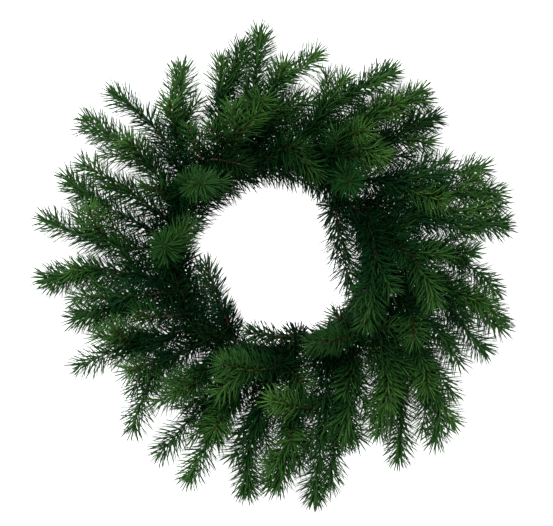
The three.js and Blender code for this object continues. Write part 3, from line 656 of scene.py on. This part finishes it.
def grow_bark(twig, draw):
    """The twig itself: a slightly uneven round stem, closed by its bud."""
    rings = math.ceil(twig.length / BARK_STEP) + 1
    distance = np.linspace(0, twig.length, rings)
    points, _, first, second = twig.at(distance)
    angle = np.linspace(0, 2 * math.pi, BARK_SIDES, endpoint=False)
    radius = BARK_SHARE * twig.radius(distance)[:, None]
    radius = radius * (1 + draw.uniform(*BARK_UNEVENNESS, (rings, BARK_SIDES)))
    from_tip = np.clip((twig.length - distance) / BUD_LENGTH, 0, 1)
    radius *= np.maximum(np.sqrt(1 - (1 - from_tip) ** 2), BUD_POINT)[:, None]
    ways = (first[:, None] * np.cos(angle)[None, :, None]
            + second[:, None] * np.sin(angle)[None, :, None])
    surface = points[:, None] + ways * radius[..., None]
    vertices = np.vstack([surface.reshape(-1, 3), points[:1], points[-1:]])
    tail = len(vertices) - 2
    faces = ring_faces(rings, BARK_SIDES) + end_faces(rings, BARK_SIDES, tail, tail + 1)
    along = np.append(np.repeat(distance / twig.length, BARK_SIDES), [0, 1])
    young = twig.youth * np.clip((RUSTY_TO - distance / twig.length) / RUST_FADE, 0, 1)
    # A twig in shade has less of its paler rust: painted shade.
    rust_and_shade = np.maximum(twig.near_joint(distance), young) * (1 - twig.shade)
    rust_and_shade = np.append(np.repeat(rust_and_shade, BARK_SIDES), [0, 0])
    empty = np.zeros(len(vertices))
    values = {"along": along, "under": empty, "tone": rust_and_shade, "cool": empty,
              "fresh_and_lit": empty, "deep_shade": empty}
    return vertices, np.vstack(faces), values


def needle_colours(twig, distance, point, facing_up):
    """How lit each needle is, by new growth and painted light, and its painted shade low in the wreath,
    from 0 to 1.
    """
    # Higher needles are painted lighter: painted light.
    height = climb(point[:, 2], *LIT_HEIGHTS)
    outside = np.hypot(point[:, 0], point[:, 1])
    lit = np.clip(facing_up, 0, 1)
    near_tip = LAST_YEAR_SHARE * climb(distance, twig.joint, twig.joint + LAST_YEAR_FADE)
    near_tip += (1 - LAST_YEAR_SHARE) * climb(distance, twig.length - FRESH_TIP, twig.length)
    raised = height * (LIT_BEHIND_TIP + (1 - LIT_BEHIND_TIP) * near_tip)
    fresh_and_lit = (FRESH_BY_TIP + FRESH_BY_YOUTH * twig.youth) * near_tip + LIT_BY_HEIGHT * raised
    # Each spray's own lift or loss grows with height: growth together with painted light and shade.
    fresh_and_lit += twig.fresh_and_lit_shift * height - STEEP_LOSS * max(twig.tip_rise - STEEP, 0) - FRESH_AND_LIT_LOSS
    # Needles nearer the hole's middle keep less of it: painted shade.
    fresh_and_lit *= np.maximum(climb(outside, *INNER_SHADE_RADII), LIGHT_KEPT_INSIDE)
    # Needles that face up are painted lighter: painted light.
    fresh_and_lit = fresh_and_lit * (UNLIT_SHARE + (1 - UNLIT_SHARE) * lit) + LIT_GAIN * lit
    fresh_and_lit = np.clip(fresh_and_lit, 0, 1)
    # Needles low and near the ring, and twigs in shade, are painted darker: painted shade.
    deep_shade = (1 - climb(point[:, 2], *DEEP_SHADE_HEIGHTS)) * (1 - climb(outside, *DEEP_SHADE_RADII))
    return fresh_and_lit, np.clip(deep_shade * (1 - DEEP_SHADE_LOSS_BY_LIGHT * fresh_and_lit) + twig.shade, 0, 1)


def place_needles(twig, draw):
    """Where the needles leave a twig: distances, points, the twig's directions and ways out of it."""
    last_at = twig.length - BARE_TIP - RISING_BARE_TIP * twig.tip_rise**2
    whorls = max(round((last_at - twig.needle_start) / WHORL_STEP), 1)
    step = (last_at - twig.needle_start) / whorls
    in_whorl = round(step / twig.spacing)
    order = np.arange(whorls * in_whorl)
    whorl = order // in_whorl
    distance = twig.needle_start + (whorl + WHORL_PLACE) * step
    distance += draw.normal(0, WHORL_DEPTH, len(order))
    distance = np.clip(distance, twig.needle_start, last_at)
    angle = whorl * WHORL_TURN + order * 2 * math.pi / in_whorl
    angle += draw.normal(0, WHORL_DISORDER, len(order))
    point, along, first, second = twig.at(distance)
    return distance, point, along, first * np.cos(angle)[:, None] + second * np.sin(angle)[:, None]


def needle_lines(twig, distance, point, along, away, draw):
    """The needles' middle lines, and the two ways across them at each of their points."""
    count = len(distance)
    across = np.cross(along, away)
    rising = np.clip(along[:, 2], 0, 1) ** 2
    open_share = twig.open_share(distance)
    tip_lean = NEEDLE_TIP_LEAN + rising * RISING_TIP_LEAN
    lean = tip_lean + (NEEDLE_LEAN + rising * RISING_LEAN - tip_lean) * open_share
    lean -= UPPER_NEEDLES_FLATTER * np.clip(away[:, 2], 0, 1) * open_share
    lean += draw.normal(0, NEEDLE_LEAN_SPREAD, count) * (1 + RISING_DISORDER * rising)
    length = NEEDLE_LENGTH * twig.length_share * (1 - JOINT_LENGTH_LOSS * twig.near_joint(distance))
    length *= TIP_LENGTH_SHARE + (1 - TIP_LENGTH_SHARE) * open_share
    length *= 1 - RISING_LENGTH_LOSS * twig.tip_rise**2 * (1 - open_share)
    length += draw.uniform(-1, 1, count) * NEEDLE_LENGTH_SPREAD * (1 + rising)
    curl = NEEDLE_CURL + draw.normal(0, NEEDLE_CURL_SPREAD, count)
    sway = draw.normal(0, NEEDLE_SWAY, count)
    roll = draw.normal(0, NEEDLE_ROLL, count)[:, None, None]

    centres = [point + away * (twig.radius(distance) * BARK_SHARE * NEEDLE_ROOT)[:, None]]
    ways = []
    for i, share in enumerate(NEEDLE_SHARES):
        turn = lean + curl * (0.5 - share)
        way = along * np.cos(turn)[:, None] + away * np.sin(turn)[:, None]
        ways.append(unit(way + across * (sway * share)[:, None]))
        if i:
            middle = unit(ways[i - 1] + ways[i])
            centres.append(centres[-1] + middle * (length * (share - NEEDLE_SHARES[i - 1]))[:, None])
    centres = np.stack(centres, 1)
    ways = np.stack(ways, 1)

    # Needles that would reach below the wreath's own back lie flatter.
    root_height = centres[:, :1, 2]
    drop = root_height - centres[:, -1:, 2]
    room = np.maximum(root_height - LOWEST_NEEDLE, LEAST_ROOM)
    squeeze = room / np.maximum(drop, room)
    centres[:, :, 2] = root_height + (centres[:, :, 2] - root_height) * squeeze

    flat = unit(across[:, None] - ways * np.sum(across[:, None] * ways, -1, keepdims=True))
    up = np.cross(ways, flat)
    return centres, flat * np.cos(roll) + up * np.sin(roll), up * np.cos(roll) - flat * np.sin(roll)


def grow_needles(twig, draw):
    """All needles of a twig, as vertices, triangles and the values that colour them."""
    distance, point, along, away = place_needles(twig, draw)
    centres, flat, up = needle_lines(twig, distance, point, along, away, draw)
    count = len(distance)
    sections = len(NEEDLE_WIDTHS)
    size = draw.uniform(*NEEDLE_SIZES, count)
    size *= TIP_WIDTH_SHARE + (1 - TIP_WIDTH_SHARE) * twig.open_share(distance)
    size = size[:, None, None] * np.array(NEEDLE_WIDTHS)[None, :, None]
    flat_reach = flat[:, :sections] * size * NEEDLE_WIDTH / 2
    up_reach = up[:, :sections] * size * NEEDLE_THICKNESS / 2
    body = centres[:, :sections]
    corners = np.stack([body + flat_reach, body + up_reach, body - flat_reach], 2)
    corners[..., 2] = np.maximum(corners[..., 2], LOWEST_NEEDLE / 2)
    vertices = np.concatenate([corners.reshape(count, -1, 3), centres[:, -1:]], 1)

    sides = corners.shape[2]
    per_needle = vertices.shape[1]
    one = ring_faces(sections, sides) + end_faces(sections, sides, 0, per_needle - 1)[1:]
    faces = np.vstack(one)[None] + (np.arange(count) * per_needle)[:, None, None]

    fresh_and_lit, deep_shade = needle_colours(twig, distance, point, away[:, 2])
    values = {
        "along": np.tile(np.append(np.repeat(NEEDLE_SHARES[:-1], sides), 1.0), count),
        "under": np.tile(np.append(np.tile(UNDER_EDGES, sections), UNDER_TIP), count),
        "tone": np.repeat(draw.uniform(0, 1, count), per_needle),
        "cool": np.full(count * per_needle, twig.coolness),
        "fresh_and_lit": np.repeat(fresh_and_lit, per_needle),
        "deep_shade": np.repeat(deep_shade, per_needle),
    }
    return vertices.reshape(-1, 3), faces.reshape(-1, 3), values


def join(parts):
    """Some parts' vertices and triangles as one mesh."""
    starts = np.append(0, np.cumsum([len(part[0]) for part in parts]))
    vertices = np.vstack([part[0] for part in parts])
    return vertices, np.vstack([part[1] + start for part, start in zip(parts, starts)])


def make_piece(name, vertices, faces, origin, node, slot):
    """A piece of the scene, smoothly shaded, in the place of a node of the CAD."""
    mesh = bpy.data.meshes.new(name)
    placed = (vertices + origin) * MM
    mesh.vertices.add(len(placed))
    mesh.vertices.foreach_set("co", placed.astype(np.float32).ravel())
    mesh.loops.add(len(faces) * 3)
    mesh.loops.foreach_set("vertex_index", faces.astype(np.int32).ravel())
    mesh.polygons.add(len(faces))
    mesh.polygons.foreach_set("loop_start", np.arange(0, len(faces) * 3, 3, dtype=np.int32))
    mesh.update(calc_edges=True)
    mesh.shade_smooth()
    piece = bpy.data.objects.new(name, mesh)
    bpy.context.scene.collection.objects.link(piece)
    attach(piece, "root")
    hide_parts(node)
    return piece


# The materials.

class Surface:
    """A material and the nodes that make its looks."""

    def __init__(self, name):
        self.material = bpy.data.materials.new(name)
        self.material.use_nodes = True
        self.nodes = self.material.node_tree.nodes
        self.links = self.material.node_tree.links
        self.shader = self.nodes["Principled BSDF"]

    def give(self, socket, value):
        """Gives a socket a value, or what comes out of another node."""
        if isinstance(value, bpy.types.NodeSocket):
            self.links.new(value, socket)
        else:
            socket.default_value = value

    def set_shader(self, **values):
        """Gives the shader's sockets, with _ for a space in their names, their values."""
        for name, value in values.items():
            self.give(self.shader.inputs[name.replace("_", " ")], value)

    def carried(self, name):
        """A value that the mesh carries at each of its points."""
        node = self.nodes.new("ShaderNodeAttribute")
        node.attribute_name = name
        return node.outputs["Fac"]

    def mix(self, share, first, second):
        """A colour between two others."""
        node = self.nodes.new("ShaderNodeMix")
        node.data_type = "RGBA"
        for place, value in ((MIX_SHARE, share), (MIX_FIRST, first), (MIX_SECOND, second)):
            self.give(node.inputs[place], value)
        return node.outputs[MIX_RESULT]

    def ramp(self, value, stops):
        """A colour that follows a value through some stops."""
        node = self.nodes.new("ShaderNodeValToRGB")
        elements = node.color_ramp.elements
        elements[0].position, elements[0].color = stops[0]
        elements[1].position, elements[1].color = stops[-1]
        for position, colour in stops[1:-1]:
            elements.new(position).color = colour
        self.give(node.inputs[0], value)
        return node.outputs[0]

    def scaled(self, value, low, high):
        """A value from 0 to 1, spread over a range of its own."""
        node = self.nodes.new("ShaderNodeMapRange")
        node.inputs["To Min"].default_value = low
        node.inputs["To Max"].default_value = high
        self.give(node.inputs["Value"], value)
        return node.outputs["Result"]

    def noise(self, scale, detail):
        """Noise that is fixed to the object."""
        place = self.nodes.new("ShaderNodeTexCoord")
        node = self.nodes.new("ShaderNodeTexNoise")
        node.inputs["Scale"].default_value = scale
        node.inputs["Detail"].default_value = detail
        self.give(node.inputs["Vector"], place.outputs["Object"])
        return node.outputs["Fac"]

    def bump(self, height, strength, depth):
        """Small bumps, for the shader's normal."""
        node = self.nodes.new("ShaderNodeBump")
        node.inputs["Strength"].default_value = strength
        node.inputs["Distance"].default_value = depth
        self.give(node.inputs["Height"], height)
        return node.outputs["Normal"]


def needle_material():
    """Dark glossy green: newer towards the tips, lighter with painted light, paler beneath, and almost
    black low inside the wreath with painted shade.
    """
    needles = Surface("needles")
    tone = needles.carried("tone")
    green = needles.mix(needles.noise(*PATCH_NOISE), needles.mix(tone, *OLD_GREENS), PATCH_GREEN)
    green = needles.mix(needles.scaled(needles.carried("cool"), 0.0, COOL_MOST), green, COOL_GREEN)
    # The new green is partly new growth and partly painted light.
    green = needles.mix(needles.carried("fresh_and_lit"), green, needles.mix(tone, *NEW_AND_LIT_GREENS))
    green = needles.mix(needles.scaled(needles.carried("under"), 0.0, UNDER_MOST), green, UNDER_GREEN)
    green = needles.mix(needles.ramp(needles.carried("along"), NEEDLE_ENDS), green, NEEDLE_END)
    # Painted shade: the green goes almost black low inside the wreath.
    green = needles.mix(needles.scaled(needles.carried("deep_shade"), 0.0, DEEP_SHADE_MOST), green, DEEP_SHADE_GREEN)
    needles.set_shader(Base_Color=green, Specular_IOR_Level=0.14, Specular_Tint=NEEDLE_GLEAM,
                       Roughness=needles.scaled(needles.noise(*SHEEN_NOISE), *NEEDLE_ROUGHNESS),
                       Normal=needles.bump(needles.noise(*GRAIN_NOISE), *NEEDLE_BUMP))
    return needles.material


def bark_material():
    """Dark brown bark, more olive towards a twig's tip and rusty where a young sprig begins, less rusty
    in painted shade.
    """
    bark = Surface("twig_bark")
    grain = bark.noise(*BARK_NOISE)
    brown = bark.mix(bark.carried("tone"), bark.ramp(grain, BARK_BROWNS), bark.mix(grain, *RUSTS))
    brown = bark.mix(bark.scaled(bark.carried("along"), 0.0, TIP_BARK_MOST), brown, TIP_BARK)
    bark.set_shader(Base_Color=brown, Roughness=bark.scaled(grain, *BARK_ROUGHNESS),
                    Normal=bark.bump(grain, *BARK_BUMP))
    return bark.material


def enamel_material():
    """Dark green enamel, a little worn and uneven, on steel wire."""
    enamel = Surface("painted_wire")
    runs = enamel.noise(*RUN_NOISE)
    worn = enamel.ramp(enamel.noise(*WEAR_NOISE), ENAMEL_WEAR)
    enamel.set_shader(Base_Color=enamel.mix(worn, enamel.mix(runs, *ENAMELS), BARE_STEEL),
                      Roughness=enamel.scaled(runs, *ENAMEL_ROUGHNESS), Metallic=0.3,
                      Coat_Weight=0.4, Coat_Roughness=0.2, Normal=enamel.bump(runs, *ENAMEL_BUMP))
    return enamel.material


def floor_material():
    """A pale floor that glows, so that the gaps between the needles stay white."""
    floor = Surface("pale_floor")
    floor.set_shader(Base_Color=floor.mix(floor.noise(*FLOOR_NOISE), *FLOOR_GREYS), Roughness=0.8,
                     Emission_Color=WHITE, Emission_Strength=FLOOR_GLOW)
    return floor.material


# The ring.

def tube(line, half, sides, squareness, closed):
    """A wire along a line. Above ROUND, a squareness makes its section squarer."""
    if closed:
        along = unit(np.roll(line, -1, 0) - np.roll(line, 1, 0))
    else:
        along = unit(np.gradient(line, axis=0))
    angle = np.linspace(0, 2 * math.pi, sides, endpoint=False) + math.pi / sides
    spread = np.abs(np.cos(angle)) ** squareness + np.abs(np.sin(angle)) ** squareness
    reach = half / spread ** (1 / squareness)
    side = (reach * np.cos(angle))[:, None]
    rise = (reach * np.sin(angle))[:, None]
    across = first_across(along[0])
    rings = []
    for point, way in zip(line, along):
        across = unit(across - way * np.dot(across, way))
        rings.append(point + across * side + np.cross(way, across) * rise)
    vertices = np.vstack(rings)
    faces = ring_faces(len(line), sides, closed)
    if not closed:
        vertices = np.vstack([vertices, line[:1], line[-1:]])
        faces += end_faces(len(line), sides, len(vertices) - 2, len(vertices) - 1)
    return vertices, np.vstack(faces)


def clamp_line():
    """A clamp's wire in the plane across the hoop: out from its mouth, round the hoop and back."""
    half = CLAMP_WIRE / 2
    roof = HOOP_TOP + 2 * GAP + STEM_FACE + STEM_RADIUS + half
    foot = -(HOOP_WIRE - WELD_DEPTH) - half
    side = CLAMP_INSIDE + half
    line = [(CLAMP_MOUTH, roof)]
    for x, z, start in ((side, roof, 90), (side, foot, 0), (-side, foot, -90), (-side, roof, -180)):
        middle_x = x - math.copysign(CLAMP_CORNER, x)
        middle_z = z - math.copysign(CLAMP_CORNER, z)
        for turn in np.radians(np.linspace(start, start - 90, CLAMP_CORNER_STEPS)):
            line.append((middle_x + CLAMP_CORNER * math.cos(turn),
                         middle_z + CLAMP_CORNER * math.sin(turn)))
    return line + [(-CLAMP_MOUTH, roof)]


def ring_places():
    """The ring's centre and the angles of its clamps, read from the CAD's ring_frame."""
    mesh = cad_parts["ring_frame"].data
    points = np.zeros(len(mesh.vertices) * 3, np.float32)
    mesh.vertices.foreach_get("co", points)
    points = points.reshape(-1, 3).astype(float) / MM
    middle = points[np.abs(points[:, 2] - HOOP_HEIGHT) < HAIR]
    centre = (middle.min(0) + middle.max(0)) / 2
    centre[2] = 0
    feet = points[points[:, 2] < HAIR] - centre
    angles = np.sort(np.degrees(np.arctan2(feet[:, 1], feet[:, 0])) % 360)
    groups = np.split(angles, np.where(np.diff(angles) > CLAMPS_APART)[0] + 1)
    if angles[0] + 360 - angles[-1] < CLAMPS_APART:
        groups[0] = np.append(groups[0], groups.pop() - 360)
    return centre, [math.radians((group.min() + group.max()) / 2) for group in groups]


def weld_bead(middle, outward, sideways):
    """A small weld bead, longer across the hoop."""
    long, wide, high = WELD_BEAD
    angle = np.linspace(0, 2 * math.pi, WELD_SIDES, endpoint=False)[:, None]
    rings = []
    for lift in np.radians(WELD_LIFTS):
        reach = math.cos(lift)
        rings.append(middle + outward * long * reach * np.cos(angle)
                     + sideways * wide * reach * np.sin(angle) + [0, 0, high * math.sin(lift)])
    vertices = np.vstack(rings + [middle[None] - [0, 0, high], middle[None] + [0, 0, high]])
    tail = len(vertices) - 2
    faces = ring_faces(len(rings), WELD_SIDES) + end_faces(len(rings), WELD_SIDES, tail, tail + 1)
    return vertices, np.vstack(faces)


def build_ring(centre, clamps, enamel):
    """The hoop, its clamps and their weld beads, as one piece."""
    turn = np.linspace(0, 2 * math.pi, HOOP_STEPS, endpoint=False)
    circle = np.stack([HOOP_RADIUS * np.cos(turn), HOOP_RADIUS * np.sin(turn),
                       np.full(HOOP_STEPS, HOOP_HEIGHT)], 1)
    parts = [tube(circle, HOOP_WIRE, FINE_HOOP_SIDES, ROUND, True)]
    for angle in clamps:
        outward = np.array([math.cos(angle), math.sin(angle), 0])
        sideways = np.array([-math.sin(angle), math.cos(angle), 0])
        seat = outward * HOOP_RADIUS + [0, 0, HOOP_HEIGHT]
        line = np.array([seat + outward * x + [0, 0, z] for x, z in clamp_line()])
        parts.append(tube(line, CLAMP_WIRE / 2, CLAMP_SIDES, CLAMP_SQUARENESS, False))
        for side in (-CLAMP_WIRE / 2, CLAMP_WIRE / 2):
            middle = seat + sideways * side - [0, 0, HOOP_WIRE - WELD_SINK]
            parts.append(weld_bead(middle, outward, sideways))
    ring = make_piece("ring_wire", *join(parts), centre, "ring_frame", "painted_wire")
    ring.data.materials.append(enamel)


def spray_twigs(spray, draw):
    """All twigs of a spray, the stem first, with what the tables and the draws say of each."""
    seat = spray["seat"]
    stem = stem_twig(spray)
    twigs = [stem] + [sprig_twig(stem, share, tip) for share, tip in spray["sprigs"]]
    twigs += [side_twig(sprig_line(stem, share, tip)) for share, tip in FILLS.get(seat, [])]
    twigs += collar_twigs(stem, seat, draw)
    if seat not in OPEN:
        twigs += side_twigs(stem, draw)
    coolness = draw.uniform(0, 1)
    for place, twig in enumerate(twigs):
        twig.shade = SHADED.get((seat, place), 0.0)
        twig.length_share = SHORTER.get(seat, 1.0)
        twig.spacing *= AIRIER.get(seat, 1.0)
        twig.coolness = np.clip(coolness + draw.normal(0, COOLNESS_SPREAD), 0, 1)
        twig.coolness *= 1 - twig.tip_rise
        twig.fresh_and_lit_shift = FRESH_AND_LIT_BY_SEAT.get(seat, 0.0)
        twig.joint = max(twig.length - draw.uniform(*JOINT_FROM_TIP), 0)
    return twigs


def build_spray(index, spray, centre, materials):
    """A spray's twigs and needles, as one piece."""
    draw = np.random.default_rng(FIRST_SEED + SEED_STEP * index)
    parts = []
    which = []
    for twig in spray_twigs(spray, draw):
        for material, part in enumerate((grow_needles(twig, draw), grow_bark(twig, draw))):
            parts.append(part)
            which.append(np.full(len(part[1]), material, np.int32))
    node = f"spray_{index + 1:02d}"
    piece = make_piece(f"{node}_fine", *join(parts), centre, node, "evergreen")
    for key in parts[0][2]:
        column = np.concatenate([part[2][key] for part in parts]).astype(np.float32)
        piece.data.attributes.new(key, "FLOAT", "POINT").data.foreach_set("value", column)
    for material in materials:
        piece.data.materials.append(material)
    piece.data.polygons.foreach_set("material_index", np.concatenate(which))


def build_floor():
    """A floor just below the wreath."""
    mesh = bpy.data.meshes.new("floor")
    half = FLOOR_SIZE / 2
    corners = [(-half, -half, 0), (half, -half, 0), (half, half, 0), (-half, half, 0)]
    mesh.from_pydata(corners, [], [(0, 1, 2, 3)])
    mesh.materials.append(floor_material())
    floor = bpy.data.objects.new("floor", mesh)
    floor.location.z = -FLOOR_DROP * MM
    bpy.context.scene.collection.objects.link(floor)


def area_light(name, location, size, energy):
    """A square light that faces the wreath."""
    x, y, z = location
    data = bpy.data.lights.new(name, "AREA")
    data.size = size
    data.energy = energy
    light = bpy.data.objects.new(name, data)
    light.location = location
    light.rotation_euler = (math.atan2(math.hypot(x, y), z), 0, math.atan2(x, -y))
    bpy.context.scene.collection.objects.link(light)


def build_studio():
    """White light from all sides, a key light and a softer fill light."""
    world = bpy.data.worlds.new("studio")
    world.use_nodes = True
    sky = world.node_tree.nodes["Background"]
    sky.inputs["Color"].default_value = WHITE
    sky.inputs["Strength"].default_value = SKY_STRENGTH
    bpy.context.scene.world = world
    for light in LIGHTS:
        area_light(*light)


def place_camera(centre):
    """The camera looks straight down on the wreath's face, as in the photo."""
    data = bpy.data.cameras.new("camera")
    data.sensor_width = CAMERA_SENSOR
    data.lens = CAMERA_SENSOR * CAMERA_DISTANCE / VIEW_WIDTH
    data.clip_end = CAMERA_REACH
    camera = bpy.data.objects.new("camera", data)
    camera.location = ((centre[0] + CAMERA_ASIDE[0]) * MM, (centre[1] + CAMERA_ASIDE[1]) * MM,
                       (CAMERA_PLANE + CAMERA_DISTANCE) * MM)
    bpy.context.scene.collection.objects.link(camera)
    bpy.context.scene.camera = camera
    bpy.context.scene.view_settings.view_transform = "Standard"


centre, clamps = ring_places()
build_ring(centre, clamps, enamel_material())
materials = [needle_material(), bark_material()]
for index, spray in enumerate(SPRAYS):
    build_spray(index, spray, centre, materials)
build_floor()
build_studio()
place_camera(centre)
